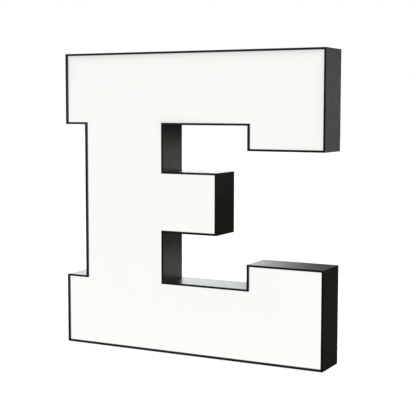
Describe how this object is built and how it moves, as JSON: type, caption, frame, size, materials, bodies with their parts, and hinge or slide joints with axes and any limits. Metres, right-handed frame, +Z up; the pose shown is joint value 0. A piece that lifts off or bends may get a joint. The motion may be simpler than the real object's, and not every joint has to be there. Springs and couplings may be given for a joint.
{
  "type": "light-up letter",
  "caption": "Free-standing or wall-hung slab-serif E with black side bands, a thin black rim and a backlit opal face; plug bay, rocker switch and keyholes at the back.",
  "frame": {"origin": "on the resting surface, under the middle of the object's box", "axes": "+Z up along the letter height, -Y towards the viewer of the lit face, +X to the reader's right"},
  "size_m": [0.573, 0.0794, 0.602],
  "materials": {
    "black_coat": "satin black powder coat on aluminium",
    "black_trim": "satin black extruded trim",
    "opal_face": "opal acrylic, lit evenly from behind",
    "bright_sheet": "folded mill-finish sheet",
    "foam": "closed-cell foam",
    "white_coat": "white reflective coat",
    "brass": "turned brass",
    "black_rivet": "black anodised",
    "light_board": "white solder mask",
    "phosphor": "phosphor gel",
    "clear_lens": "clear moulded acrylic",
    "red_insulation": "PVC insulation",
    "black_insulation": "PVC insulation",
    "brown_insulation": "PVC insulation",
    "blue_insulation": "PVC insulation",
    "black_rubber": "moulded rubber",
    "driver_grey": "grey coat",
    "driver_white": "moulded polycarbonate",
    "board_green": "green solder mask",
    "ferrite": "ferrite and tape",
    "capacitor_blue": "shrink sleeve",
    "terminal_green": "moulded nylon",
    "bright_steel": "zinc plated",
    "tinned_brass": "tin plated",
    "black_moulding": "moulded, fine grain",
    "ivory_nylon": "nylon",
    "copper": "copper strip"
  },
  "bodies": {
    "case": {"outer_side_band": "black_coat", "inner_side_band": "black_coat", "seam_plates": "bright_sheet", "front_bezel": "black_trim", "front_face": "opal_face", "face_ledges": "bright_sheet", "face_pads": "foam", "led_tray": "white_coat", "tray_standoffs": "brass", "tray_screws": "white_coat", "standoff_screws": "bright_steel", "led_bars_top_arm": "light_board", "led_bars_stem": "light_board", "led_bars_middle_arm": "light_board", "led_bars_bottom_arm": "light_board", "led_chips": "phosphor", "led_lenses": "clear_lens", "led_bar_screws": "white_coat", "led_links_positive": "red_insulation", "led_links_negative": "black_insulation", "back_panel": "black_coat", "panel_tabs": "bright_sheet", "panel_screws": "bright_steel", "hanger_plates": "bright_sheet", "hanger_rivets": "black_rivet", "wall_bumpers": "black_rubber", "bottom_pads": "black_rubber", "driver_base": "driver_grey", "driver_cover": "driver_white", "driver_board": "board_green", "driver_transformer": "ferrite", "driver_capacitors": "capacitor_blue", "driver_terminals": "terminal_green", "driver_cover_screws": "bright_steel", "driver_fixings": "bright_steel", "cable_bay": "black_coat", "bay_rivets": "black_rivet", "inlet_socket": "black_moulding", "inlet_pins": "tinned_brass", "inlet_screws": "bright_steel", "inlet_nuts": "bright_steel", "switch_housing": "black_moulding", "switch_terminals": "tinned_brass", "mains_lead_live": "brown_insulation", "mains_lead_neutral": "blue_insulation", "switched_lead": "brown_insulation", "output_lead_positive": "red_insulation", "output_lead_negative": "black_insulation", "tray_grommet": "black_rubber", "lead_clips": "driver_white"},
    "rocker": {"switch_rocker": "black_moulding", "switch_plunger": "ivory_nylon", "switch_spring": "bright_steel"},
    "contact": {"switch_contact": "copper"}
  },
  "joints": [
    {"name": "rocker_tilt", "type": "hinge", "parent": "case", "child": "rocker", "pos_m": [-0.07525, 0.03175, 0.102], "axis": [-1, 0, 0], "range_deg": [0, 22]},
    {"name": "contact_tilt", "type": "hinge", "parent": "case", "child": "contact", "pos_m": [-0.07525, 0.02025, 0.102], "axis": [-1, 0, 0], "range_deg": [-14, 0]}
  ],
  "couplings": [
    {"joint": "contact_tilt", "follows": "rocker_tilt", "ratio": -0.63636}
  ]
}
